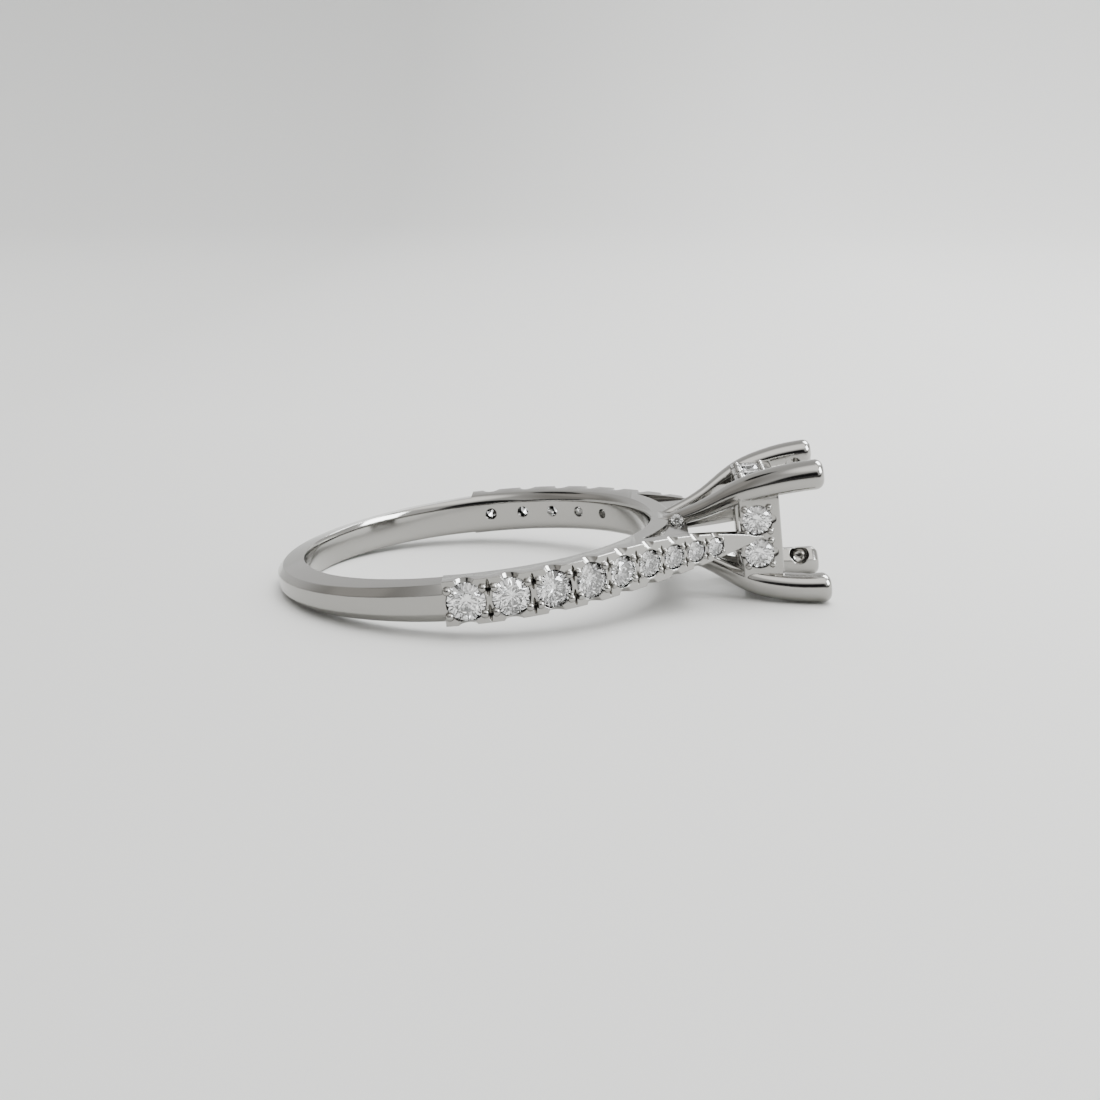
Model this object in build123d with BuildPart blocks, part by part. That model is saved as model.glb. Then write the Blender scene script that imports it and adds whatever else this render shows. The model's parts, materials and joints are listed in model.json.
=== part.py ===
from build123d import *
from math import atan2, cos, degrees, pi, radians, sin, tan
import os

# A semi mount ring: a polished shank whose shoulders rise to a square head with four
# tulip prongs for a centre stone. Small round stones are set along both shoulders,
# round the head's rail and in the prongs' roots. The ring lies on its side, on the
# two lower prong tips and the bottom of the shank, as it does on a table.
#
# Everything is built in the ring's own frame: origin at the finger hole's centre, x towards
# the head, y across the head, z along the finger. The finished ring is tipped and set down
# at the end. All sizes are in millimetres and all angles in degrees.

os.makedirs("parts", exist_ok=True)

# Finger hole
finger_hole_d = 16.9
hole_straight_w = 1.0       # straight stretch of the hole's wall, along the finger
hole_edge_r = 0.6           # rounding of the wall towards both sides

# Shank, from the ring's bottom to the shoulders
bottom_thick = 1.4
bottom_w = 1.6              # width at the finger hole
bottom_edge_w = 1.2         # width where the side meets the bevel
bottom_face_w = 0.64        # width of the flat outer face
bevel_depth = 0.28
shank_edge_r = 0.08
shank_sections = 9
shank_end_w = 1.92          # the shank's widths where it meets the shoulders
shank_end_edge_w = 1.74
shank_end_face_w = 0.9

# Every rise below is a distance along x from the finger hole's wall at the head.

# Shoulders with their row of stones
shoulder_thick = 1.5
shoulder_w = 2.06
row_start_angle = 85.0      # from the bottom of the ring
head_turn_angle = 48.0      # from the head, where the shoulder leaves the circle
taper_start_rise = -1.45    # from here the shoulder narrows to its tip
crotch_angle = 33.1         # from the head, where the shoulder parts from its base
shoulder_end_thick = 1.0    # across the head, where the shoulder meets the head's rail
underside_sag = 0.17        # how far the underside bows in from a straight line

# Base of the head, between the shoulders
base_thick = 1.1
web_top_rise = 1.85
web_w = 1.5
hub_size = 1.9
hub_top_rise = 1.45

# Rail of the head
head_rail_rise = 4.33
head_rail_h = 1.94
head_rail_size = 5.5
head_rail_thick = 1.05
head_rail_corner_r = 1.0
head_rail_edge_r = 0.1
rail_tip_share = 0.58       # height on the rail at which the shoulder's tip ends

# Prongs
prong_tip_rise = 8.42
prong_tip_spread = 2.78     # from the head's axis to a prong's middle, both ways
prong_tip_w = 1.40
prong_root_rise = 0.75
prong_end_r = 0.4
seat_rise = 7.45
seat_recess_r = 0.5

# Along the prong, the spread and the width are shares of those at the tip.
PRONG_SECTIONS = (
    # along, spread, width
    (0.00, 0.22, 0.52),
    (0.13, 0.345, 0.54),
    (0.26, 0.48, 0.64),
    (0.39, 0.66, 0.78),
    (0.52, 0.81, 0.89),
    (0.65, 0.90, 0.945),
    (0.80, 0.965, 0.985),
    (1.00, 1.00, 1.00),
)
PRONG_BACK_SHARE = 0.52     # rounding of the back, which faces out of the head, of the prong's width
PRONG_SIDE_SHARE = 0.42     # rounding of the two corners beside it
PRONG_INNER_SHARE = 0.36    # leg of the flat that faces the centre stone

# Stones
shoulder_stone_d = 1.75     # the first stone of each row, at the shank
STONE_SHARES = (1.0, 0.975, 0.95, 0.92, 0.82, 0.72, 0.64, 0.56, 0.49)
stone_gap_share = 0.18      # metal between two stones, of the diameter
row_end_gap = 0.12          # from the row's end wall to the first stone
through_stones = 5          # stones whose holes reach the finger hole
head_stone_d = 1.4
head_stone_pitch = 1.62
head_stone_share = 0.43     # height of the stones on the rail
accent_stone_d = 0.6
accent_rise = 1.4
seat_clearance = 0.03
seat_hole_share = 0.34      # hole behind a stone, of its diameter
shoulder_hole_depth = 1.3   # of the holes that stop between the shoulder and the base
girdle_drop_share = 0.09    # girdle below the metal's face, of the diameter
window_share = 0.27         # radius of the window cut beside each stone
bead_share = 0.12           # radius of the four beads round each stone
bead_along_share = 0.9      # from bead to bead along a shoulder, of the diameter
bead_across_share = 0.66    # from bead to bead across it
head_bead_share = 0.82      # from bead to bead on the rail
head_window_r = 0.2
head_window_deep = 0.25

# Proportions of a round brilliant, of its diameter, and its facets
CROWN_SHARE = 0.15
PAVILION_SHARE = 0.43
GIRDLE_SHARE = 0.035
GIRDLE_SIDES = 16
FACETS = (
    # side, sides, slope, reach from the girdle's radius, turn
    (1, 8, 34.5, 1.00, 0.0),
    (1, 16, 42.0, 1.00, 11.25),
    (1, 8, 21.5, 1.28, 22.5),
    (-1, 8, 41.0, 1.00, 0.0),
    (-1, 16, 42.4, 1.00, 11.25),
)

# Worked out from the sizes above
hole_r = finger_hole_d / 2
bottom_r = hole_r + bottom_thick
shoulder_r = hole_r + shoulder_thick
base_r = hole_r + base_thick
head_half = head_rail_size / 2
web_top_x = hole_r + web_top_rise
hub_top_x = hole_r + hub_top_rise
head_rail_x = hole_r + head_rail_rise
tip_x = head_rail_x + head_rail_h * rail_tip_share
prong_root_x = hole_r + prong_root_rise
prong_tip_x = hole_r + prong_tip_rise
prong_length = prong_tip_x - prong_root_x
spare = 1.0                 # how far a cutter reaches past what it cuts
trim_r = hole_r - spare / 4     # solids start inside the hole and are trimmed by its cut
TIP_TURNS = 6               # each turn brings the tilt about 20 times closer


def between(low, high, share):
    return low + (high - low) * share


def shank_section(angle):
    """Corners of the shank's section at this angle from the bottom, as radius and width."""
    share = (1 - cos(radians(angle))) / (1 - cos(radians(row_start_angle)))
    outer = between(bottom_r, shoulder_r, share)
    bevel = outer - bevel_depth
    hole_half = between(bottom_w, shank_end_w, share) / 2
    edge_half = between(bottom_edge_w, shank_end_edge_w, share) / 2
    face_half = between(bottom_face_w, shank_end_face_w, share) / 2
    inner_half = between(edge_half, hole_half, (bevel - trim_r) / (bevel - hole_r))
    upper = [(trim_r, inner_half), (bevel, edge_half), (outer, face_half)]
    return upper + [(radius, -half) for radius, half in reversed(upper)]


# Outline of one shoulder, seen along the finger. The crest is its outer edge, from the end
# of the plain shank to the tip on the head's rail; the underside parts from the base at the crotch.
with BuildLine() as crest:
    row_angle = 180 - row_start_angle
    circle_part = CenterArc((0, 0), shoulder_r, row_angle, head_turn_angle - row_angle)
    TangentArc(circle_part @ 1, (tip_x, head_half), tangent=circle_part % 1)
crest_wire = crest.wires()[0]

crotch = (base_r * cos(radians(crotch_angle)), base_r * sin(radians(crotch_angle)))
underside_end = (tip_x, head_half - shoulder_end_thick)
with BuildLine() as underside:
    SagittaArc(crotch, underside_end, underside_sag)


def crest_plane(distance, side):
    """Plane on the crest at this distance from its start, facing out of the metal."""
    point = crest_wire.position_at(distance, position_mode=PositionMode.LENGTH)
    along = crest_wire.tangent_at(distance, position_mode=PositionMode.LENGTH)
    out = (-along.Y, side * along.X, 0)
    return Plane((point.X, side * point.Y, 0), x_dir=(along.X, side * along.Y, 0), z_dir=out)


# Places of all stones: each has a plane on the metal's face, a diameter and a hole's depth.
# The near side of the ring is the one towards -y.
SIDES = (("near", -1), ("far", 1))
shoulder_seats = []
for side_name, side in SIDES:
    distance = row_end_gap
    for number, share in enumerate(STONE_SHARES, start=1):
        stone_d = shoulder_stone_d * share
        distance += stone_d / 2
        depth = shoulder_thick + spare if number <= through_stones else shoulder_hole_depth
        plane = crest_plane(distance, side)
        shoulder_seats.append((f"{side_name}_shoulder_stone_{number}", plane, stone_d, depth))
        distance += stone_d * (0.5 + stone_gap_share)

head_seats = []
stone_x = head_rail_x + head_rail_h * head_stone_share
for turn in range(4):
    out = (0, round(cos(radians(90 * turn))), round(sin(radians(90 * turn))))
    along = (0, -out[2], out[1])
    for step in (-0.5, 0.5):
        spot = [head_half * out[axis] + step * head_stone_pitch * along[axis] for axis in (0, 1, 2)]
        plane = Plane((stone_x, spot[1], spot[2]), x_dir=(1, 0, 0), z_dir=out)
        number = len(head_seats) + 1
        head_seats.append((f"head_stone_{number}", plane, head_stone_d, head_rail_thick + spare / 4))


def prong_size(x):
    """Spread and half width of a prong at this x, read between the sections."""
    along = (x - prong_root_x) / prong_length
    for low, high in zip(PRONG_SECTIONS, PRONG_SECTIONS[1:]):
        if along <= high[0]:
            break
    share = (along - low[0]) / (high[0] - low[0])
    spread = between(low[1], high[1], share) * prong_tip_spread
    return spread, between(low[2], high[2], share) * prong_tip_w / 2


CORNERS = ((-1, -1), (-1, 1), (1, -1), (1, 1))
accent_spread, accent_half = prong_size(hole_r + accent_rise)
accent_seats = []
for number, (y_side, z_side) in enumerate(CORNERS, start=1):
    spot = (hole_r + accent_rise, y_side * (accent_spread + accent_half), z_side * accent_spread)
    plane = Plane(spot, x_dir=(1, 0, 0), z_dir=(0, y_side, 0))
    accent_seats.append((f"accent_stone_{number}", plane, accent_stone_d, accent_half))

# Shank: one loft round the bottom of the ring, between the two shoulders.
with BuildPart() as shank:
    for step in range(shank_sections):
        angle = between(-row_start_angle, row_start_angle, step / (shank_sections - 1))
        radial = (-cos(radians(angle)), sin(radians(angle)), 0)
        ahead = (sin(radians(angle)), cos(radians(angle)), 0)
        with BuildSketch(Plane((0, 0, 0), x_dir=radial, z_dir=ahead)) as section:
            Polygon(*shank_section(angle), align=None)
            outer_corners = section.vertices().filter_by(lambda v: v.X > hole_r)
            fillet(outer_corners, shank_edge_r)
    loft()

# Everything between the x axis and the crest of one shoulder.
with BuildSketch() as under_crest:
    with BuildLine():
        start = crest_wire @ 0
        add(crest.line)
        Line(crest_wire @ 1, (tip_x, 0))
        Line((tip_x, 0), (start.X, 0))
        Line((start.X, 0), start)
    make_face()

# The open space between the base of the head and the shoulder's underside.
with BuildSketch() as opening:
    with BuildLine():
        add(underside.line)
        Line(underside_end, (tip_x, 0))
        Line((tip_x, 0), (crotch[0], 0))
        Line((crotch[0], 0), crotch)
    make_face()
    Circle(base_r, mode=Mode.SUBTRACT)

# Shoulders and base: the outline seen along the finger, cut to the width seen from the side.
with BuildPart() as shoulders:
    with BuildSketch():
        add(under_crest.sketch)
        add(opening.sketch, mode=Mode.SUBTRACT)
        mirror(about=Plane.XZ)
    extrude(amount=shoulder_w / 2, both=True)
    with BuildSketch(Plane.XZ):
        with BuildLine():
            half_w = shoulder_w / 2
            Line((-shoulder_r, 0), (-shoulder_r, half_w))
            Line((-shoulder_r, half_w), (hole_r + taper_start_rise, half_w))
            TangentArc((hole_r + taper_start_rise, half_w), (tip_x, 0), tangent=(1, 0))
            Line((tip_x, 0), (-shoulder_r, 0))
        make_face()
        mirror(about=Plane.XZ)
    extrude(amount=shoulder_r + spare, both=True, mode=Mode.INTERSECT)

# Foot of the head: a hub that joins the prongs' roots and a web that fills both crotches.
with BuildPart() as foot:
    with BuildSketch():
        add(under_crest.sketch)
        mirror(about=Plane.XZ)
        with Locations(((crotch[0] + web_top_x) / 2, 0)):
            Rectangle(web_top_x - crotch[0], 2 * shoulder_r, mode=Mode.INTERSECT)
    extrude(amount=web_w / 2, both=True)
    with Locations(((trim_r + hub_top_x) / 2, 0, 0)):
        Box(hub_top_x - trim_r, hub_size, hub_size)

# Square rail of the head, open in the middle.
with BuildPart() as head_rail:
    with BuildSketch(Plane.YZ.offset(head_rail_x)):
        RectangleRounded(head_rail_size, head_rail_size, head_rail_corner_r)
        inner_size = head_rail_size - 2 * head_rail_thick
        Rectangle(inner_size, inner_size, mode=Mode.SUBTRACT)
    extrude(amount=head_rail_h)
    fillet(head_rail.faces().filter_by(Axis.X).edges(), head_rail_edge_r)

# One prong, a square rod that swells and leans out from its root, then all four.
with BuildPart() as prongs:
    for along, spread_share, width_share in PRONG_SECTIONS:
        spread = prong_tip_spread * spread_share
        width = prong_tip_w * width_share
        low = spread - width / 2
        high = spread + width / 2
        leg = width * PRONG_INNER_SHARE
        with BuildSketch(Plane.YZ.offset(prong_root_x + prong_length * along)) as section:
            inner_flat = [(low, low + leg), (low + leg, low)]
            Polygon(*inner_flat, (high, low), (high, high), (low, high), align=None)
            side_corners = section.vertices().filter_by(lambda v: abs(v.X - v.Y) > width * 0.9)
            fillet(side_corners, width * PRONG_SIDE_SHARE)
            back_corner = section.vertices().sort_by(lambda v: v.X + v.Y)[-1]
            fillet(back_corner, width * PRONG_BACK_SHARE)
    loft()
    tip_face = prongs.faces().sort_by(Axis.X)[-1]
    fillet(tip_face.edges(), prong_end_r)
    flat_middle = prong_tip_spread - prong_tip_w * (1 - PRONG_INNER_SHARE) / 2
    with Locations((hole_r + seat_rise, flat_middle, flat_middle)):
        Sphere(seat_recess_r, mode=Mode.SUBTRACT)
    mirror(about=Plane.XZ)
    mirror(about=Plane.XY)


def seat_profile(stone_d, depth):
    """Half outline of the cut for one stone: its own shape with a clearance, and a hole behind it."""
    girdle_z = -stone_d * girdle_drop_share
    rim_r = stone_d / 2 + seat_clearance
    rim_z = girdle_z - stone_d * GIRDLE_SHARE / 2 - seat_clearance
    bore_r = stone_d * seat_hole_share / 2
    bore_z = rim_z - (rim_r - bore_r) * 2 * PAVILION_SHARE
    return [(0, spare), (rim_r, spare), (rim_r, rim_z), (bore_r, bore_z), (bore_r, -depth), (0, -depth)]


# Seats for all stones, windows cut beside them, and beads that hold them down.
seats = []
for name, plane, stone_d, depth in shoulder_seats + head_seats + accent_seats:
    with BuildPart() as seat:
        with BuildSketch(Plane(origin=plane.origin, x_dir=plane.x_dir, z_dir=-plane.y_dir)):
            Polygon(*seat_profile(stone_d, depth), align=None)
        revolve(axis=Axis(plane.origin, plane.z_dir))
    seats.append(seat.part)

windows = []
for name, plane, stone_d, depth in shoulder_seats:
    with BuildPart() as window:
        with Locations(plane.origin):
            Cylinder(stone_d * window_share, shoulder_w + spare)
    windows.append(window.part)
for name, plane, stone_d, depth in head_seats:
    with BuildPart() as window:
        with Locations(plane):
            with GridLocations(stone_d, 0, 2, 1):
                Cylinder(head_window_r, 2 * head_window_deep)
    windows.append(window.part)

beads = []
for name, plane, stone_d, depth in shoulder_seats + head_seats:
    on_rail = name.startswith("head")
    along = stone_d * (head_bead_share if on_rail else bead_along_share)
    across = stone_d * (head_bead_share if on_rail else bead_across_share)
    with BuildPart() as bead_group:
        with Locations(plane):
            with GridLocations(along, across, 2, 2):
                Sphere(stone_d * bead_share)
    beads.append(bead_group.part)

# Finger hole, with its wall rounded towards both sides.
with BuildPart() as finger_hole:
    with BuildSketch(Plane.XZ):
        with BuildLine():
            edge_z = hole_straight_w / 2 + hole_edge_r
            Line((0, 0), (hole_r, 0))
            Line((hole_r, 0), (hole_r, hole_straight_w / 2))
            TangentArc((hole_r, hole_straight_w / 2), (hole_r + hole_edge_r, edge_z), tangent=(0, 1))
            Line((hole_r + hole_edge_r, edge_z), (hole_r + hole_edge_r, edge_z + spare))
            Line((hole_r + hole_edge_r, edge_z + spare), (0, edge_z + spare))
            Line((0, edge_z + spare), (0, 0))
        make_face()
    revolve(axis=Axis.Z)
    mirror(about=Plane.XY)

# The setting is one cast and soldered solid.
with BuildPart() as setting:
    add([shank.part, shoulders.part, foot.part, head_rail.part, prongs.part])
    add(finger_hole.part, mode=Mode.SUBTRACT)
    add(beads)
    add(windows, mode=Mode.SUBTRACT)
    add(seats, mode=Mode.SUBTRACT)

# Round brilliant of diameter 1, girdle on the plane z = 0 and table facing +z. Each row of
# facets is a pyramid that the stone is cut down to.
crown_top = GIRDLE_SHARE / 2 + CROWN_SHARE
culet = GIRDLE_SHARE / 2 + PAVILION_SHARE
with BuildPart() as brilliant:
    with BuildSketch(Plane.XY.offset(-culet)):
        RegularPolygon(0.5, GIRDLE_SIDES)
    extrude(amount=culet + crown_top)
    for side, sides, slope, reach, facet_turn in FACETS:
        back = culet if side > 0 else crown_top
        flat = cos(pi / sides) if sides == GIRDLE_SIDES else 1
        base_reach = 0.5 * reach * flat + (back + GIRDLE_SHARE / 2) / tan(radians(slope))
        with BuildSketch(Plane.XY.offset(-side * back)):
            RegularPolygon(base_reach, sides, major_radius=False, rotation=facet_turn + 180 / sides)
        extrude(amount=side * (culet + crown_top), taper=90 - slope, mode=Mode.INTERSECT)

stones = []
for name, plane, stone_d, depth in shoulder_seats + head_seats + accent_seats:
    girdle = Location((0, 0, -stone_d * girdle_drop_share))
    with BuildPart() as stone:
        with Locations(Plane(plane.location * girdle)):
            add(scale(brilliant.part, by=stone_d, mode=Mode.PRIVATE))
    stone.part.label = name
    stones.append(stone)

# The ring lies on the bottom of its shank and on two prongs. It is tipped until both touch.
with BuildPart() as shank_foot:
    add(shank.part)
    add(finger_hole.part, mode=Mode.SUBTRACT)


def lowest(part, angle):
    """Lowest point of a part of the ring when the head is tipped up by this angle."""
    return part.rotate(Axis.Y, -angle).bounding_box(optimal=True).min.Z


tilt = 0
for turn in range(TIP_TURNS):
    prongs_under = lowest(shank_foot.part, tilt) - lowest(prongs.part, tilt)
    tilt += degrees(atan2(prongs_under, hole_r + prong_tip_x))

# The laid ring is moved onto z = 0, with its box centred over the origin.
lay = Rotation(0, -tilt, 0)
box = setting.part.moved(lay).bounding_box(optimal=True)
to_floor = Location((-box.center().X, -box.center().Y, -box.min.Z))
setting.part.label = "ring_setting"
for piece in [setting] + stones:
    piece.part.move(to_floor * lay)
    export_step(piece.part, f"parts/{piece.part.label}.step")
print(f"tilt {tilt:.4f}, finger hole centre {to_floor.position}")
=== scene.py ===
import json
from math import atan2, cos, pi, radians, sin, sqrt, tan

import bmesh
import bpy
import numpy as np
from mathutils import Matrix, Vector


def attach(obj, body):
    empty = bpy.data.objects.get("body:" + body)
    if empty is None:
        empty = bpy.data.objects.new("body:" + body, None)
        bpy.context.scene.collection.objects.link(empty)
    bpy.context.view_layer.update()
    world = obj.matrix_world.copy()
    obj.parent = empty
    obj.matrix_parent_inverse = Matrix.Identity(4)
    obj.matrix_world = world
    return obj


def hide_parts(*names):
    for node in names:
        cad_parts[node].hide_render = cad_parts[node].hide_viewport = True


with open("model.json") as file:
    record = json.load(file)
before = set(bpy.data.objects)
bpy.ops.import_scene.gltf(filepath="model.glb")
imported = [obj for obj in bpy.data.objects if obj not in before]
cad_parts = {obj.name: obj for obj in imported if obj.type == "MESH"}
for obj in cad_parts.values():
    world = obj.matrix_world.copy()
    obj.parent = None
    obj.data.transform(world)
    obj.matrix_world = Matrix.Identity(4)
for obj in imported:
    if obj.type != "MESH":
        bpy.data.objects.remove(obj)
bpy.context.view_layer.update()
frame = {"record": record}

# How the ring lies. It rests on the bottom of its shank and on two prongs, with the head
# up. The metal is made in millimetres in the ring's own frame: x from the finger hole's
# centre to the head, y across the head, z along the finger.
finger_hole = next(mount for mount in frame["record"]["mounts"] if mount["name"] == "finger_hole")
finger_axis = Vector(finger_hole["axis"]).normalized()
across = Vector((0, 1, 0))
towards_head = across.cross(finger_axis)
ring_to_row = Matrix.Translation(finger_hole["pos_m"]) @ Matrix(
    (towards_head, across, finger_axis)).transposed().to_4x4() @ Matrix.Scale(0.001, 4)

# Shank: cast white gold, a band with a bevel along both sides of its outer face. It grows
# a little wider and thicker from the bottom of the ring to the shoulders.
HOLE_R = finger_hole["dims"]["r_mm"]
TRIM_R = HOLE_R - 0.25
BOTTOM_R, SHOULDER_R = HOLE_R + 1.4, HOLE_R + 1.5
ROW_START = 85.0
BEVEL_DEPTH = 0.28
SHANK_WIDTHS = (1.6, 1.92), (1.2, 1.74), (0.64, 0.9)    # at the hole, the bevel and the face
SHANK_EDGE_R, HIDDEN_EDGE_R = 0.08, 0.01
SHANK_STEPS = 220
OVERLAP_ANGLE, UNDER_SHOULDER = 0.5, 0.012      # the shank's ends reach into the shoulders


def blank(name, points, faces):
    """A closed body in the ring's frame, with its faces turned outwards."""
    mesh = bpy.data.meshes.new(name)
    mesh.from_pydata([tuple(map(float, point)) for point in points], [], faces)
    work = bmesh.new()
    work.from_mesh(mesh)
    bmesh.ops.remove_doubles(work, verts=work.verts, dist=1e-5)
    bmesh.ops.recalc_face_normals(work, faces=work.faces)
    work.to_mesh(mesh)
    work.free()
    body = bpy.data.objects.new(name, mesh)
    bpy.context.collection.objects.link(body)
    return body


def skin(name, rings, closed=False):
    """A body stretched over loops of points; its two ends are capped unless it closes on itself."""
    count = len(rings[0])
    points = [point for ring in rings for point in ring]
    steps = len(rings) if closed else len(rings) - 1
    faces = []
    for step in range(steps):
        low, high = step * count, (step + 1) % len(rings) * count
        faces += [(low + i, low + (i + 1) % count, high + (i + 1) % count, high + i) for i in range(count)]
    if not closed:
        faces += [tuple(range(count)), tuple(range(len(points) - count, len(points)))]
    return blank(name, points, faces)


def rounded(corners, radii, steps=5):
    """A flat outline whose corners are rounded by arcs."""
    outline = []
    for i, corner in enumerate(corners):
        corner = Vector(corner)
        back = (Vector(corners[i - 1]) - corner).normalized()
        ahead = (Vector(corners[(i + 1) % len(corners)]) - corner).normalized()
        half = back.angle(ahead) / 2
        start = corner + back * radii[i] / tan(half)
        centre = corner + (back + ahead).normalized() * radii[i] / sin(half)
        spoke = start - centre
        turn = (pi - 2 * half) * (-1 if back.x * ahead.y - back.y * ahead.x > 0 else 1)
        for step in range(steps + 1):
            a = turn * step / steps
            outline.append((centre.x + spoke.x * cos(a) - spoke.y * sin(a),
                            centre.y + spoke.x * sin(a) + spoke.y * cos(a)))
    return outline


def between(low, high, share):
    """A value a share of the way from low to high."""
    return low + (high - low) * share


shank_rings = []
for step in range(SHANK_STEPS + 1):
    angle = radians(between(-ROW_START - OVERLAP_ANGLE, ROW_START + OVERLAP_ANGLE, step / SHANK_STEPS))
    share = min((1 - cos(angle)) / (1 - cos(radians(ROW_START))), 1)
    outer = min(between(BOTTOM_R, SHOULDER_R, share), SHOULDER_R - UNDER_SHOULDER)
    bevel = outer - BEVEL_DEPTH
    hole_half, edge_half, face_half = (between(low, high, share) / 2 for low, high in SHANK_WIDTHS)
    inner_half = between(edge_half, hole_half, (bevel - TRIM_R) / (bevel - HOLE_R))
    upper = [(TRIM_R, inner_half), (bevel, edge_half), (outer, face_half)]
    corners = upper + [(radius, -half) for radius, half in reversed(upper)]
    section = rounded(corners, (HIDDEN_EDGE_R, *[SHANK_EDGE_R] * 4, HIDDEN_EDGE_R))
    shank_rings.append([(-r * cos(angle), r * sin(angle), z) for r, z in section])
metal = skin("ring_metal", shank_rings)

# Shoulders and base: cast in one with the shank. Each shoulder sweeps straight up to the
# head's rail and tapers to a point there, while the base closes the circle under the head.
BASE_R, HEAD_TURN, CROTCH = HOLE_R + 1.1, 48.0, 33.1
RAIL_X, RAIL_H, HEAD_HALF = HOLE_R + 4.33, 1.94, 2.75
TIP_SHARE, TAPER_X = 0.58, HOLE_R - 1.45
TIP_X = RAIL_X + RAIL_H * TIP_SHARE
SHOULDER_HALF_W, SHOULDER_END_THICK, UNDERSIDE_SAG = 1.03, 1.0, 0.17
BEYOND_Y, BEYOND_Z = 12, 2          # past the widest part of the ring, and of its band
ARC_STEPS, RISE_STEPS, SAG_STEPS = 60, 40, 24


def carve(body, operation, tool):
    """Solders a tool's body on, or cuts it away, and uses it up."""
    step = body.modifiers.new("carve", "BOOLEAN")
    step.operation = operation
    step.solver = "MANIFOLD"
    step.object = tool
    depsgraph = bpy.context.evaluated_depsgraph_get()
    mesh = bpy.data.meshes.new_from_object(body.evaluated_get(depsgraph))
    body.modifiers.clear()
    body.data = mesh
    bpy.data.objects.remove(tool)


def on_circle(radius, turn):
    """The point at an angle on a circle about the origin."""
    return radius * cos(turn), radius * sin(turn)


def arc_to(start, heading, end, count):
    """Points on the arc that leaves a point along a heading and ends at another."""
    start, heading, end = Vector(start), Vector(heading).normalized(), Vector(end)
    chord = end - start
    side = Vector((-heading.y, heading.x))
    radius = chord.length_squared / (2 * chord.dot(side))
    centre = start + side * radius
    spoke = start - centre
    turn = 2 * heading.angle(chord) * (1 if radius > 0 else -1)
    return [(centre.x + spoke.x * cos(turn * k / count) - spoke.y * sin(turn * k / count),
             centre.y + spoke.x * sin(turn * k / count) + spoke.y * cos(turn * k / count))
            for k in range(count + 1)]


crest_start, crest_end = radians(180 - ROW_START), radians(HEAD_TURN)
crest = [on_circle(SHOULDER_R, between(crest_start, crest_end, k / ARC_STEPS)) for k in range(ARC_STEPS)]
crest += arc_to(on_circle(SHOULDER_R, crest_end), (sin(crest_end), -cos(crest_end)),
                (TIP_X, HEAD_HALF), RISE_STEPS)
crotch = on_circle(BASE_R, radians(CROTCH))
underside_end = Vector((TIP_X, HEAD_HALF - SHOULDER_END_THICK))
chord = underside_end - Vector(crotch)
sag_heading = Vector((chord.x, chord.y))
sag_heading.rotate(Matrix.Rotation(2 * atan2(2 * UNDERSIDE_SAG, chord.length), 2))
underside = arc_to(crotch, sag_heading, underside_end, SAG_STEPS)
base = [on_circle(BASE_R, radians(between(CROTCH, -CROTCH, k / ARC_STEPS))) for k in range(ARC_STEPS + 1)]


def prism(name, outline, low, high, turned=False):
    """A flat outline given a thickness, along z or turned to stand along y."""
    place = (lambda a, b, c: (a, c, b)) if turned else (lambda a, b, c: (a, b, c))
    return skin(name, [[place(a, b, c) for a, b in outline] for c in (low, high)])


half_outline = crest + list(reversed(underside[1:]))
plan = half_outline + base[:-1] + [(x, -y) for x, y in reversed(half_outline)]
shoulders = prism("shoulders", plan, -BEYOND_Z, BEYOND_Z)
taper = [(-SHOULDER_R, SHOULDER_HALF_W)] + arc_to((TAPER_X, SHOULDER_HALF_W), (1, 0), (TIP_X, 0), ARC_STEPS)
width = taper + [(x, -z) for x, z in reversed(taper[:-1])]
carve(shoulders, "INTERSECT", prism("width", width, -BEYOND_Y, BEYOND_Y, turned=True))
carve(metal, "UNION", shoulders)

# Foot of the head: a hub of white gold that holds the prongs' roots, soldered on the base,
# and a thin web, cast with the shoulders, that fills both crotches.
WEB_TOP_X, WEB_HALF_W = HOLE_R + 1.85, 0.75
HUB_TOP_X, HUB_HALF, HUB_EDGE_R = HOLE_R + 1.45, 0.95, 0.15
web_ends = [(crotch[0], 5.6), (WEB_TOP_X, 4.55)]    # both ends lie inside the shoulders
web_outline = web_ends + [(x, -y) for x, y in reversed(web_ends)]
carve(metal, "UNION", prism("web", web_outline, -WEB_HALF_W, WEB_HALF_W))
hub_outline = [(TRIM_R, -HUB_HALF), (HUB_TOP_X, -HUB_HALF), (HUB_TOP_X, HUB_HALF), (TRIM_R, HUB_HALF)]
hub_outline = rounded(hub_outline, (HUB_EDGE_R / 3, HUB_EDGE_R, HUB_EDGE_R, HUB_EDGE_R / 3))
carve(metal, "UNION", prism("hub", hub_outline, -HUB_HALF, HUB_HALF))

# Head rail: a square rail of white gold with rounded corners, open in the middle, which
# ties the four prongs together and carries two stones on each side.
RAIL_THICK, RAIL_CORNER_R, RAIL_INNER_R, RAIL_EDGE_R = 1.05, 1.0, 0.06, 0.1


def square(half, corner_r):
    """A square outline with rounded corners."""
    return rounded([(half, half), (-half, half), (-half, -half), (half, -half)], [corner_r] * 4, 10)


edge_turns = [radians(22.5 * step) for step in range(5)]
rail_rings = []
for outside, foot_end in ((True, True), (True, False), (False, False), (False, True)):
    for turn in edge_turns if outside == foot_end else reversed(edge_turns):
        inset = RAIL_EDGE_R * (1 - sin(turn))
        depth = RAIL_EDGE_R * (1 - cos(turn))
        half, corner_r = HEAD_HALF - inset, RAIL_CORNER_R - inset
        if not outside:
            half, corner_r = HEAD_HALF - RAIL_THICK + inset, RAIL_INNER_R + inset
        x = RAIL_X + depth if foot_end else RAIL_X + RAIL_H - depth
        rail_rings.append([(x, y, z) for y, z in square(half, corner_r)])
carve(metal, "UNION", skin("head_rail", rail_rings, closed=True))

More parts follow.
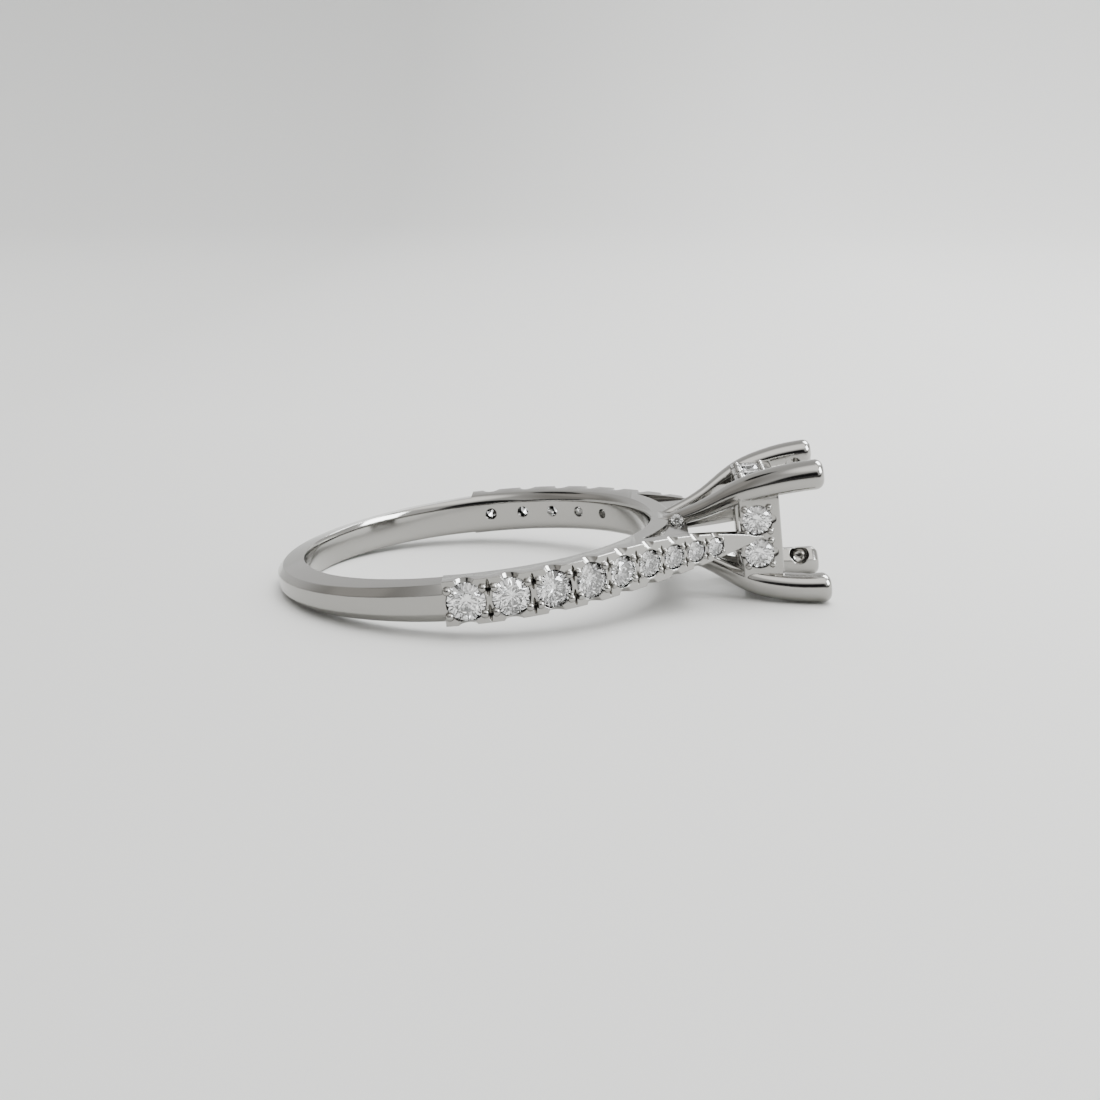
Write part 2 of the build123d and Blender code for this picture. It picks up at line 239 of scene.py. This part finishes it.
# Prongs: four rods of white gold that spring from the hub like a tulip's petals, swell
# towards their rounded tips and have a ball-cut recess for the centre stone's edge.
PRONG_SECTIONS = (
    # along, spread, width
    (0.00, 0.22, 0.52),
    (0.13, 0.345, 0.54),
    (0.26, 0.48, 0.64),
    (0.39, 0.66, 0.78),
    (0.52, 0.81, 0.89),
    (0.65, 0.90, 0.945),
    (0.80, 0.965, 0.985),
    (1.00, 1.00, 1.00),
)
PRONG_ROOT_X, PRONG_TIP_X = HOLE_R + 0.75, HOLE_R + 8.42
PRONG_SPREAD, PRONG_W, PRONG_END_R = 2.78, 1.40, 0.4
PRONG_INNER, PRONG_BACK, PRONG_SIDE, FLAT_EDGE_R = 0.36, 0.52, 0.42, 0.05
SEAT_X, RECESS_R = HOLE_R + 7.45, 0.5


def smooth_through(xs, ys):
    """A curve with no kinks through the given points (a natural cubic spline)."""
    xs, ys = np.array(xs, float), np.array(ys, float)
    count, step = len(xs), np.diff(xs)
    grid, right = np.zeros((count, count)), np.zeros(count)
    grid[0, 0] = grid[-1, -1] = 1
    for i in range(1, count - 1):
        grid[i, i - 1:i + 2] = step[i - 1], 2 * (step[i - 1] + step[i]), step[i]
        right[i] = 6 * ((ys[i + 1] - ys[i]) / step[i] - (ys[i] - ys[i - 1]) / step[i - 1])
    bend = np.linalg.solve(grid, right)

    def value(x):
        i = int(np.clip(np.searchsorted(xs, x) - 1, 0, count - 2))
        a, b, h = xs[i + 1] - x, x - xs[i], step[i]
        return ((bend[i] * a**3 + bend[i + 1] * b**3) / (6 * h)
                + (ys[i] / h - bend[i] * h / 6) * a + (ys[i + 1] / h - bend[i + 1] * h / 6) * b)
    return value


alongs, spreads, widths = zip(*PRONG_SECTIONS)
prong_spread = smooth_through(alongs, [share * PRONG_SPREAD for share in spreads])
prong_width = smooth_through(alongs, [share * PRONG_W for share in widths])


def prong_ring(x, inset=0.0):
    """A prong's outline at the height x, drawn in by an inset where its tip is rounded."""
    along = (x - PRONG_ROOT_X) / (PRONG_TIP_X - PRONG_ROOT_X)
    spread, width = prong_spread(along), prong_width(along)
    low, high = spread - width / 2 + inset, spread + width / 2 - inset
    leg = width * PRONG_INNER - inset * (2 - sqrt(2))
    side_r, back_r = width * PRONG_SIDE - inset, width * PRONG_BACK - inset
    corners = [(low + leg, low), (high, low), (high, high), (low, high), (low, low + leg)]
    outline = rounded(corners, (FLAT_EDGE_R, side_r, back_r, side_r, FLAT_EDGE_R), 10)
    return [(x, y, z) for y, z in outline]


PRONG_STEPS, END_STEPS = 90, 12
end_x = PRONG_TIP_X - PRONG_END_R
prong_rings = [prong_ring(between(PRONG_ROOT_X, end_x, k / PRONG_STEPS)) for k in range(PRONG_STEPS + 1)]
for k in range(1, END_STEPS + 1):
    turn = radians(90 * k / END_STEPS)
    prong_rings.append(prong_ring(end_x + PRONG_END_R * sin(turn), PRONG_END_R * (1 - cos(turn))))
flat_middle = PRONG_SPREAD - PRONG_W * (1 - PRONG_INNER) / 2


def ball(name, centre, radius, sides):
    """A round bead or cutter."""
    mesh = bpy.data.meshes.new(name)
    work = bmesh.new()
    bmesh.ops.create_uvsphere(work, u_segments=sides, v_segments=sides // 2, radius=radius)
    bmesh.ops.translate(work, vec=centre, verts=work.verts)
    work.to_mesh(mesh)
    work.free()
    body = bpy.data.objects.new(name, mesh)
    bpy.context.collection.objects.link(body)
    return body


for side_y in (-1, 1):
    for side_z in (-1, 1):
        prong = skin("prong", [[(x, side_y * y, side_z * z) for x, y, z in ring] for ring in prong_rings])
        spot = (SEAT_X, side_y * flat_middle, side_z * flat_middle)
        carve(prong, "DIFFERENCE", ball("recess", spot, RECESS_R, 48))
        carve(metal, "UNION", prong)

# Finger hole: one clean cut through everything, rounded towards both sides for comfort.
HOLE_STRAIGHT, HOLE_EDGE_R = 1.0, 0.6
SPARE = 1.0                 # how far a cutter reaches past what it cuts
wide_r, straight_z = HOLE_R + HOLE_EDGE_R, HOLE_STRAIGHT / 2
hole_profile = [(wide_r, straight_z + HOLE_EDGE_R + SPARE)]
for k in range(END_STEPS + 1):
    turn = radians(90 * k / END_STEPS)
    hole_profile.append((wide_r - HOLE_EDGE_R * sin(turn), straight_z + HOLE_EDGE_R * cos(turn)))
hole_profile += [(r, -z) for r, z in reversed(hole_profile)]
spokes = [on_circle(1, radians(degree)) for degree in range(360)]
hole_rings = [[(r * x, r * y, z) for x, y in spokes] for r, z in hole_profile]
carve(metal, "DIFFERENCE", skin("finger_hole", hole_rings))

# Places of the stones: nine along each shoulder's crest, two on each side of the rail, and
# one on each prong's root. Each place has an origin, the way along the row and the way out.
STONE_D = 1.75
STONE_SHARES = (1.0, 0.975, 0.95, 0.92, 0.82, 0.72, 0.64, 0.56, 0.49)
STONE_GAP, ROW_END_GAP = 0.18, 0.12     # shares of a stone, and millimetres
HEAD_STONE_D, HEAD_PITCH, HEAD_STONE_SHARE = 1.4, 1.62, 0.43
ACCENT_D, ACCENT_X = 0.6, HOLE_R + 1.4
crest_points = np.array(crest)
crest_run = np.concatenate([[0], np.cumsum(np.hypot(*np.diff(crest_points, axis=0).T))])
NEARBY = 0.05               # before and behind a spot, to read which way the crest goes there


def on_crest(distance, side):
    """Origin, way along and way out on a shoulder's crest, at a distance from the row's start."""
    spot, ahead, behind = ([np.interp(distance + step, crest_run, values) for values in crest_points.T]
                           for step in (0, NEARBY, -NEARBY))
    along = Vector((ahead[0] - behind[0], side * (ahead[1] - behind[1]), 0)).normalized()
    out = Vector((-side * along.y, side * along.x, 0))
    return Vector((spot[0], side * spot[1], 0)), along, out


shoulder_places, gap_places = {-1: [], 1: []}, []
for side in (-1, 1):
    distance = ROW_END_GAP
    for share in STONE_SHARES:
        stone_d = STONE_D * share
        shoulder_places[side].append((*on_crest(distance + stone_d / 2, side), stone_d))
        if share != STONE_SHARES[-1]:
            gap_places.append((*on_crest(distance + stone_d * (1 + STONE_GAP / 2), side), stone_d))
        distance += stone_d * (1 + STONE_GAP)

head_places = []
for turn in range(4):
    out = Vector((0, round(cos(radians(90 * turn))), round(sin(radians(90 * turn)))))
    beside = Vector((0, -out.z, out.y))
    face_middle = Vector((RAIL_X + RAIL_H * HEAD_STONE_SHARE, 0, 0)) + out * HEAD_HALF
    for step in (-0.5, 0.5):
        spot = face_middle + beside * step * HEAD_PITCH
        head_places.append((spot, Vector((1, 0, 0)), out, HEAD_STONE_D))

accent_places = []
accent_along = (ACCENT_X - PRONG_ROOT_X) / (PRONG_TIP_X - PRONG_ROOT_X)
accent_spread, accent_half = float(prong_spread(accent_along)), float(prong_width(accent_along)) / 2
for side_y in (-1, 1):
    for side_z in (-1, 1):
        spot = Vector((ACCENT_X, side_y * (accent_spread + accent_half), side_z * accent_spread))
        accent_places.append((spot, Vector((1, 0, 0)), Vector((0, side_y, 0)), ACCENT_D))


def turned(place):
    """Rotation that takes a stone's own x along its row and its own z out of the metal."""
    spot, along, out, size = place
    return Matrix((along, out.cross(along), out)).transposed()


# Seats: each stone has a drilled seat with a hole behind it, and the setter cuts a slanting
# window from both sides of the shoulder down to the stone, which leaves a scalloped edge.
GIRDLE_DROP, GIRDLE_SHARE, PAVILION_SHARE = 0.09, 0.035, 0.43
SEAT_CLEAR, SEAT_HOLE, WINDOW_SHARE = 0.03, 0.34, 0.27
WINDOW_SLANT, WINDOW_DEEP = radians(33), 0.3
HEAD_WINDOW_R, HEAD_WINDOW_DEEP = 0.2, 0.25
THROUGH_STONES, THROUGH_DEPTH, BLIND_DEPTH = 5, 2.5, 1.3    # holes that reach the finger hole, and not


def join(name, bodies):
    """Several loose bodies as one mesh."""
    work = bmesh.new()
    for body in bodies:
        work.from_mesh(body.data)
        bpy.data.objects.remove(body)
    mesh = bpy.data.meshes.new(name)
    work.to_mesh(mesh)
    work.free()
    whole = bpy.data.objects.new(name, mesh)
    bpy.context.collection.objects.link(whole)
    return whole


def lathe(name, profile, place, sides=48):
    """A turned body with its axis through a place."""
    spot, turn = place[0], turned(place)
    spokes = [on_circle(1, 2 * pi * k / sides) for k in range(sides)]
    return skin(name, [[spot + turn @ Vector((r * x, r * y, z)) for x, y in spokes] for r, z in profile])


def seat_profile(size, depth):
    """A stone's seat: the well round its girdle, the slope under it and the bore behind."""
    girdle_z = -size * GIRDLE_DROP
    rim_r, bore_r = size / 2 + SEAT_CLEAR, size * SEAT_HOLE / 2
    rim_z = girdle_z - size * GIRDLE_SHARE / 2 - SEAT_CLEAR
    bore_z = rim_z - (rim_r - bore_r) * 2 * PAVILION_SHARE
    return [(rim_r, SPARE), (rim_r, rim_z), (bore_r, bore_z), (bore_r, -depth)]


taper_x, taper_half_w = np.array(taper).T
for side in (-1, 1):
    for spot, along, out, size in shoulder_places[side]:
        half_w, window_r = float(np.interp(spot.x, taper_x, taper_half_w)), size * WINDOW_SHARE
        for face in (Vector((0, 0, -1)), Vector((0, 0, 1))):
            down = face * sin(WINDOW_SLANT) - out * cos(WINDOW_SLANT)
            away = face * cos(WINDOW_SLANT) + out * sin(WINDOW_SLANT)
            middle = spot + face * half_w - out * size * WINDOW_DEEP + away * window_r
            profile = [(window_r, -SPARE), (window_r, SPARE)]
            carve(metal, "DIFFERENCE", lathe("window", profile, (middle, along, down, size), 40))
notches = []
for spot, along, out, size in head_places:
    for step in (-0.5, 0.5):
        place = (spot + along * step * size, along, out, size)
        profile = [(HEAD_WINDOW_R, -HEAD_WINDOW_DEEP), (HEAD_WINDOW_R, HEAD_WINDOW_DEEP)]
        notches.append(lathe("notch", profile, place, 24))
carve(metal, "DIFFERENCE", join("notches", notches))
seats = []
for side in (-1, 1):
    for number, place in enumerate(shoulder_places[side]):
        depth = THROUGH_DEPTH if number < THROUGH_STONES else BLIND_DEPTH
        seats.append(lathe("seat", seat_profile(place[3], depth), place))
seats += [lathe("seat", seat_profile(place[3], RAIL_THICK + SPARE / 4), place) for place in head_places]
seats += [lathe("seat", seat_profile(place[3], accent_half), place, 24) for place in accent_places]
carve(metal, "DIFFERENCE", join("seats", seats))

# Beads: the setter raises two grains of metal on each side of a stone and rounds them over
# its edge, and parts the grains of two neighbours with a narrow cut across the row.
BEAD_SHARE, BEAD_ALONG, BEAD_ACROSS, HEAD_BEAD = 0.12, 0.45, 0.33, 0.41
CUT_HALF_W, CUT_DEEP, CUT_FLARE, CUT_ROUND = 0.045, 0.14, 1.8, 0.3
CUT_REACHES = ((-0.22, 0.2), (-0.17, 0.7), (0.0, 1.0), (0.17, 0.7), (0.22, 0.2))    # across the row, share
beads = []
for place in shoulder_places[-1] + shoulder_places[1] + head_places:
    spot, along, out, size = place
    reach = (HEAD_BEAD, HEAD_BEAD) if place in head_places else (BEAD_ALONG, BEAD_ACROSS)
    for step in (-size, size):
        for side in (-size, size):
            way = turned(place) @ Vector((step * reach[0], side * reach[1], 0))
            beads.append(ball("bead", spot + way, size * BEAD_SHARE, 16))
carve(metal, "UNION", join("beads", beads))
cuts = []
for spot, along, out, size in gap_places:
    half_cut, deep = along * size * CUT_HALF_W, out * size * CUT_DEEP
    for face in (-BEAD_ACROSS, BEAD_ACROSS):
        rings = []
        for z, reach in CUT_REACHES:
            middle, wide, low = spot + Vector((0, 0, size * (face + z))), half_cut * reach, deep * reach
            rings.append([middle - wide * CUT_FLARE + deep, middle - wide - low * CUT_ROUND, middle - low,
                          middle + wide - low * CUT_ROUND, middle + wide * CUT_FLARE + deep])
        cuts.append(skin("cut", rings))
carve(metal, "DIFFERENCE", join("cuts", cuts))


# White gold: polished to a mirror, with the faint waviness and hairlines that polishing
# leaves. Sharp edges catch the light because the polishing wheel rounds them a little.
def node(tree, kind, **values):
    """Adds a node and sets its properties by name."""
    made = tree.nodes.new(kind)
    for name, value in values.items():
        setattr(made, name, value)
    return made


def mapped(tree, low, high, to_low=0.0, to_high=1.0, kind="LINEAR"):
    """A node that maps a value from one range to another."""
    made = node(tree, "ShaderNodeMapRange", interpolation_type=kind)
    for name, value in (("From Min", low), ("From Max", high), ("To Min", to_low), ("To Max", to_high)):
        made.inputs[name].default_value = value
    return made


white_gold = bpy.data.materials.new("white_gold")
white_gold.use_nodes = True
tree = white_gold.node_tree
shader = tree.nodes["Principled BSDF"]
shader.inputs["Metallic"].default_value = 1.0
shader.inputs["Base Color"].default_value = (0.345, 0.338, 0.323, 1)
coords = node(tree, "ShaderNodeTexCoord")
waves = node(tree, "ShaderNodeTexNoise")
waves.inputs["Scale"].default_value = 260.0
waves.inputs["Detail"].default_value = 2.0
grain = node(tree, "ShaderNodeTexNoise")
grain.inputs["Scale"].default_value = 5200.0
grain.inputs["Detail"].default_value = 3.0
roughness = mapped(tree, 0, 1, 0.07, 0.14)
bump = node(tree, "ShaderNodeBump")
bump.inputs["Strength"].default_value = 0.05
bump.inputs["Distance"].default_value = 0.0004
edge = node(tree, "ShaderNodeBevel", samples=6)
edge.inputs["Radius"].default_value = 0.00006
tree.links.new(coords.outputs["Object"], waves.inputs["Vector"])
tree.links.new(coords.outputs["Object"], grain.inputs["Vector"])
tree.links.new(grain.outputs["Fac"], roughness.inputs["Value"])
tree.links.new(roughness.outputs["Result"], shader.inputs["Roughness"])
tree.links.new(waves.outputs["Fac"], bump.inputs["Height"])
tree.links.new(edge.outputs["Normal"], bump.inputs["Normal"])
tree.links.new(bump.outputs["Normal"], shader.inputs["Normal"])

SLIVER, SHARP_ANGLE = 0.001, radians(28)        # shorter edges are closed up, sharper ones kept crisp
work = bmesh.new()
work.from_mesh(metal.data)
bmesh.ops.dissolve_degenerate(work, dist=SLIVER, edges=work.edges)
bmesh.ops.triangulate(work, faces=work.faces)
work.to_mesh(metal.data)
work.free()
metal.data.transform(ring_to_row)
metal.data.polygons.foreach_set("use_smooth", [True] * len(metal.data.polygons))
metal.data.set_sharp_from_angle(angle=SHARP_ANGLE)
metal.data.materials.clear()
metal.data.materials.append(white_gold)
metal.data.validate()
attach(metal, "root")
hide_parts("ring_setting")

# Stones: round brilliants of clear diamond, each pressed into its seat and held by beads. A
# stone is cut with a table, eight stars, eight kites, sixteen upper and sixteen lower halves,
# a girdle and eight pavilion mains that meet in the culet.
CROWN_SHARE, TABLE_SHARE, TABLE_FIT = 0.15, 0.56, 0.98
STAR_REACH, STAR_RISE, LOWER_REACH, LOWER_FIT = 0.5, 0.52, 0.22, 0.985


def brilliant():
    """A stone of diameter 1 with its girdle's middle on z = 0."""
    points = []

    def ring(count, radius, z, shift=0.0):
        start = len(points)
        points.extend((*on_circle(radius, 2 * pi * (k + shift) / count), z) for k in range(count))
        return list(range(start, start + count))

    top = GIRDLE_SHARE / 2
    crown_top = top + CROWN_SHARE
    table = ring(8, TABLE_SHARE / 2 / cos(pi / 8) * TABLE_FIT, crown_top)
    star_r = between(TABLE_SHARE / 2, 0.5, STAR_REACH)
    stars = ring(8, star_r, top + CROWN_SHARE * STAR_RISE, 0.5)
    girdle_top = ring(16, 0.5, top)
    girdle_low = ring(16, 0.5, -top)
    lower = ring(8, 0.5 * LOWER_REACH, -top - PAVILION_SHARE * (1 - LOWER_REACH) * LOWER_FIT, 0.5)
    points.append((0, 0, -top - PAVILION_SHARE))
    culet = len(points) - 1
    faces = [tuple(table)]
    for k in range(8):
        after = (k + 1) % 8
        faces.append((table[k], stars[k], table[after]))
        faces.append((table[k], stars[k - 1], girdle_top[2 * k], stars[k]))
        faces.append((stars[k], girdle_top[2 * k], girdle_top[2 * k + 1]))
        faces.append((stars[k], girdle_top[2 * k + 1], girdle_top[(2 * k + 2) % 16]))
        faces.append((lower[k], girdle_low[2 * k + 1], girdle_low[2 * k]))
        faces.append((lower[k], girdle_low[(2 * k + 2) % 16], girdle_low[2 * k + 1]))
        faces.append((culet, lower[k], girdle_low[2 * k], lower[k - 1]))
    for k in range(16):
        after = (k + 1) % 16
        faces.append((girdle_top[k], girdle_low[k], girdle_low[after], girdle_top[after]))
    return blank("brilliant", points, faces)


diamond = bpy.data.materials.new("diamond")
diamond.use_nodes = True
tree = diamond.node_tree
shader = tree.nodes["Principled BSDF"]
shader.inputs["Base Color"].default_value = (0.98, 0.985, 0.99, 1)
shader.inputs["Roughness"].default_value = 0.0
shader.inputs["IOR"].default_value = 2.417
shader.inputs["Transmission Weight"].default_value = 1.0

# One tree sets a stone on each marked point, turned and sized by the point's own values.
setting_tree = bpy.data.node_groups.new("set_stones", "GeometryNodeTree")
setting_tree.interface.new_socket("Places", in_out="INPUT", socket_type="NodeSocketGeometry")
setting_tree.interface.new_socket("Cut stone", in_out="INPUT", socket_type="NodeSocketObject")
setting_tree.interface.new_socket("Size share", in_out="INPUT", socket_type="NodeSocketFloat")
setting_tree.interface.new_socket("Finish", in_out="INPUT", socket_type="NodeSocketMaterial")
setting_tree.interface.new_socket("Stones", in_out="OUTPUT", socket_type="NodeSocketGeometry")
group_in = node(setting_tree, "NodeGroupInput")
group_out = node(setting_tree, "NodeGroupOutput")
cut_stone = node(setting_tree, "GeometryNodeObjectInfo")
turn_value = node(setting_tree, "GeometryNodeInputNamedAttribute", data_type="FLOAT_VECTOR")
turn_value.inputs["Name"].default_value = "turn"
size_value = node(setting_tree, "GeometryNodeInputNamedAttribute", data_type="FLOAT")
size_value.inputs["Name"].default_value = "size"
euler = node(setting_tree, "FunctionNodeEulerToRotation")
scaled = node(setting_tree, "ShaderNodeMath", operation="MULTIPLY")
setter = node(setting_tree, "GeometryNodeInstanceOnPoints")
realized = node(setting_tree, "GeometryNodeRealizeInstances")
finished = node(setting_tree, "GeometryNodeSetMaterial")
for source, target in (
        (group_in.outputs["Places"], setter.inputs["Points"]),
        (group_in.outputs["Cut stone"], cut_stone.inputs["Object"]),
        (cut_stone.outputs["Geometry"], setter.inputs["Instance"]),
        (turn_value.outputs["Attribute"], euler.inputs["Euler"]),
        (euler.outputs["Rotation"], setter.inputs["Rotation"]),
        (size_value.outputs["Attribute"], scaled.inputs[0]),
        (group_in.outputs["Size share"], scaled.inputs[1]),
        (scaled.outputs["Value"], setter.inputs["Scale"]),
        (setter.outputs["Instances"], realized.inputs["Geometry"]),
        (realized.outputs["Geometry"], finished.inputs["Geometry"]),
        (group_in.outputs["Finish"], finished.inputs["Material"]),
        (finished.outputs["Geometry"], group_out.inputs["Stones"])):
    setting_tree.links.new(source, target)
socket_of = {item.name: item.identifier
             for item in setting_tree.interface.items_tree if item.in_out == "INPUT"}
unit_stone = brilliant()


def set_stones(name, places, nodes):
    """Cuts and sets one stone for each place, as one piece that stands for its CAD stones."""
    mesh = bpy.data.meshes.new(name)
    spots = [spot - out * size * GIRDLE_DROP for spot, along, out, size in places]
    mesh.from_pydata([tuple(spot) for spot in spots], [], [])
    mesh.attributes.new("turn", "FLOAT_VECTOR", "POINT")
    mesh.attributes.new("size", "FLOAT", "POINT")
    turns = [angle for place in places for angle in turned(place).to_euler()]
    mesh.attributes["turn"].data.foreach_set("vector", turns)
    mesh.attributes["size"].data.foreach_set("value", [place[3] for place in places])
    piece = bpy.data.objects.new(name, mesh)
    bpy.context.collection.objects.link(piece)
    setter = piece.modifiers.new("set_stones", "NODES")
    setter.node_group = setting_tree
    setter[socket_of["Cut stone"]] = unit_stone
    setter[socket_of["Size share"]] = 1.0
    setter[socket_of["Finish"]] = diamond
    depsgraph = bpy.context.evaluated_depsgraph_get()
    depsgraph.update()
    piece.data = bpy.data.meshes.new_from_object(piece.evaluated_get(depsgraph))
    piece.modifiers.clear()
    piece.data.transform(ring_to_row)
    piece.data.update()
    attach(piece, "root")
    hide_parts(*nodes)
    return piece


near_names = [f"near_shoulder_stone_{number}" for number in range(1, 10)]
far_names = [f"far_shoulder_stone_{number}" for number in range(1, 10)]
set_stones("near_shoulder_row", shoulder_places[-1], near_names)
set_stones("far_shoulder_row", shoulder_places[1], far_names)
set_stones("head_rail_stones", head_places, [f"head_stone_{number}" for number in range(1, 9)])
set_stones("prong_root_stones", accent_places, [f"accent_stone_{number}" for number in range(1, 5)])
bpy.data.objects.remove(unit_stone)

# Table: a round, pale, matt sheet of paper whose edge curves up, so that no horizon shows.
# Its colour carries painted light and shade: painted light makes it brighter to the right, and painted
# shade makes it darker far behind the ring and dark where the viewer's shade falls on it.
FLAT_R, CURVE_R, SPOKES = 0.3, 0.12, 96
floor_profile = [(r, 0.0) for r in (0.04, 0.1, 0.2, FLAT_R)]
for degree in range(5, 70, 5):
    turn = radians(degree)
    floor_profile.append((FLAT_R + CURVE_R * sin(turn), CURVE_R * (1 - cos(turn))))
spokes = [on_circle(1, 2 * pi * k / SPOKES) for k in range(SPOKES)]
floor_points = [(r * x, r * y, z) for r, z in floor_profile for x, y in spokes] + [(0, 0, 0)]
floor_faces = []
for k in range(SPOKES):
    after = (k + 1) % SPOKES
    floor_faces.append((len(floor_points) - 1, k, after))
    for low in range(0, len(floor_points) - 1 - SPOKES, SPOKES):
        floor_faces.append((low + k, low + SPOKES + k, low + SPOKES + after, low + after))
floor_mesh = bpy.data.meshes.new("table")
floor_mesh.from_pydata(floor_points, [], floor_faces)
floor_mesh.polygons.foreach_set("use_smooth", [True] * len(floor_mesh.polygons))
floor = bpy.data.objects.new("table", floor_mesh)
bpy.context.collection.objects.link(floor)
paper = bpy.data.materials.new("pale_table")
paper.use_nodes = True
tree = paper.node_tree
shader = tree.nodes["Principled BSDF"]
shader.inputs["Roughness"].default_value = 0.8
shader.inputs["Specular IOR Level"].default_value = 0.2
coords = node(tree, "ShaderNodeTexCoord")
spot = node(tree, "ShaderNodeSeparateXYZ")


def ramp(tree, first, last, between_them=()):
    """A colour ramp with its two end colours and stops between them."""
    made = node(tree, "ShaderNodeValToRGB")
    made.color_ramp.elements[0].color = (*first, 1)
    made.color_ramp.elements[1].color = (*last, 1)
    for position, colour in between_them:
        made.color_ramp.elements.new(position).color = (*colour, 1)
    return made


NEAR_Y, FAR_Y, BESIDE_X = -0.18, 0.42, 0.045
depth = mapped(tree, NEAR_Y, FAR_Y)
# painted light: the paper's colour grows brighter towards the right
painted_side_light = mapped(tree, -BESIDE_X, BESIDE_X, 0.92, 1.38)
# painted shade: the paper's colour darkens far behind the ring, and close to the viewer where the viewer's
# shade falls
tone = ramp(tree, (0.04, 0.04, 0.04), (0.56, 0.565, 0.56), (
    (0.13, (0.06, 0.06, 0.06)), (0.215, (0.72, 0.725, 0.715)), (0.38, (0.80, 0.805, 0.795))))
shade = node(tree, "ShaderNodeVectorMath", operation="SCALE")
tree.links.new(coords.outputs["Object"], spot.inputs["Vector"])
tree.links.new(spot.outputs["Y"], depth.inputs["Value"])
tree.links.new(spot.outputs["X"], painted_side_light.inputs["Value"])
tree.links.new(depth.outputs["Result"], tone.inputs["Fac"])
tree.links.new(tone.outputs["Color"], shade.inputs[0])
tree.links.new(painted_side_light.outputs["Result"], shade.inputs["Scale"])
tree.links.new(shade.outputs["Vector"], shader.inputs["Base Color"])
floor.data.materials.append(paper)

# Light: a pale room under a broad ceiling light, with a little daylight from behind. Two cool
# windows gleam in what is polished, and so does the dark shape of the viewer in front.
world = bpy.data.worlds.new("room")
bpy.context.scene.world = world
world.use_nodes = True
tree = world.node_tree
background = tree.nodes["Background"]
coords = node(tree, "ShaderNodeTexCoord")


def patch(direction, inner, outer):
    """1 towards a direction of the room, falling to 0 between two angles from it."""
    facing = node(tree, "ShaderNodeVectorMath", operation="DOT_PRODUCT")
    facing.inputs[1].default_value = Vector(direction).normalized()
    share = mapped(tree, cos(radians(outer)), cos(radians(inner)), kind="SMOOTHSTEP")
    tree.links.new(coords.outputs["Generated"], facing.inputs[0])
    tree.links.new(facing.outputs["Value"], share.inputs["Value"])
    return share.outputs["Result"]


def over(colour, share, under):
    """Lays a colour over what is there, by a share."""
    mix = node(tree, "ShaderNodeMix", data_type="RGBA")
    mix.inputs["B"].default_value = (*colour, 1)
    tree.links.new(share, mix.inputs["Factor"])
    tree.links.new(under, mix.inputs["A"])
    return mix.outputs["Result"]


height = node(tree, "ShaderNodeSeparateXYZ")
tone = ramp(tree, (1.04, 1.04, 1.03), (0.86, 0.86, 0.85))
tree.links.new(coords.outputs["Generated"], height.inputs["Vector"])
tree.links.new(height.outputs["Z"], tone.inputs["Fac"])
room = tone.outputs["Color"]
for colour, direction, inner, outer in (
        ((0.50, 0.49, 0.47), (-1, -0.2, 0.35), 20, 50),         # dim wall to the left
        ((0.72, 0.70, 0.67), (-0.80, 0.0, 0.62), 10, 20),       # its upper part
        ((0.03, 0.03, 0.03), (-0.55, 0.16, 0.82), 8, 12),       # dark opening above it
        ((2.6, 2.58, 2.52), (0.12, -0.42, 1.0), 16, 34),        # lit ceiling above the viewer
        ((0.02, 0.02, 0.022), (0, -1, 0.05), 24, 34),           # the viewer
        ((4.0, 4.0, 4.0), (0.45, 0.87, 0.25), 3, 6)):           # small bright lamp behind
    room = over(colour, patch(direction, inner, outer), room)
tree.links.new(room, background.inputs["Color"])


def lamp(name, place, aim, size, power, colour=(1, 1, 1)):
    """A flat light that faces what it is aimed at."""
    light = bpy.data.lights.new(name, "AREA")
    light.shape = "RECTANGLE"
    light.size, light.size_y = size
    light.energy = power
    light.color = colour
    holder = bpy.data.objects.new(name, light)
    holder.location = place
    holder.rotation_euler = (Vector(aim) - Vector(place)).to_track_quat("-Z", "Y").to_euler()
    bpy.context.collection.objects.link(holder)
    return holder


ceiling = lamp("ceiling_light", (0.03, 0.1, 0.5), (0, 0.03, 0), (0.40, 0.35), 1.95)
ceiling.visible_glossy = False
daylight = lamp("daylight", (0.14, 0.44, 0.27), (0, 0, 0), (0.5, 0.22), 0.5)
daylight.visible_glossy = False
for name, place in (("window_behind", (0.21, 0.25, 0.38)), ("window_right", (0.40, -0.1, 0.26))):
    window = lamp(name, place, (0, 0, 0), (0.26, 0.26), 4.2, (0.94, 0.98, 1.0))
    window.visible_diffuse = False

# Camera: at the photograph's angle, low and just off the ring's side. Its distance and its
# aim beside the finger hole's centre are in millimetres.
AZIMUTH, ELEVATION, ROLL = radians(-1.611), radians(13.439), radians(0.329)
DISTANCE, SIDEWAYS, UPWARDS = 88.718, 3.532, 0.022
FOCAL_PX, IMAGE_PX, SENSOR_MM = 1794.97, 1100, 36.0
flat_right = Vector((cos(AZIMUTH), -sin(AZIMUTH), 0))
backwards = Vector((-sin(AZIMUTH) * cos(ELEVATION), -cos(AZIMUTH) * cos(ELEVATION), sin(ELEVATION)))
flat_up = backwards.cross(flat_right)
right = flat_right * cos(ROLL) + flat_up * sin(ROLL)
up = flat_up * cos(ROLL) - flat_right * sin(ROLL)
aim = Vector(finger_hole["pos_m"]) + (right * SIDEWAYS + up * UPWARDS) * 0.001
camera = bpy.data.objects.new("camera", bpy.data.cameras.new("camera"))
camera.data.lens = FOCAL_PX / IMAGE_PX * SENSOR_MM
camera.data.sensor_width = SENSOR_MM
camera.data.clip_start = 0.005
camera.matrix_world = Matrix.Translation(aim + backwards * DISTANCE * 0.001) @ Matrix(
    (right, up, backwards)).transposed().to_4x4()
bpy.context.collection.objects.link(camera)
bpy.context.scene.camera = camera
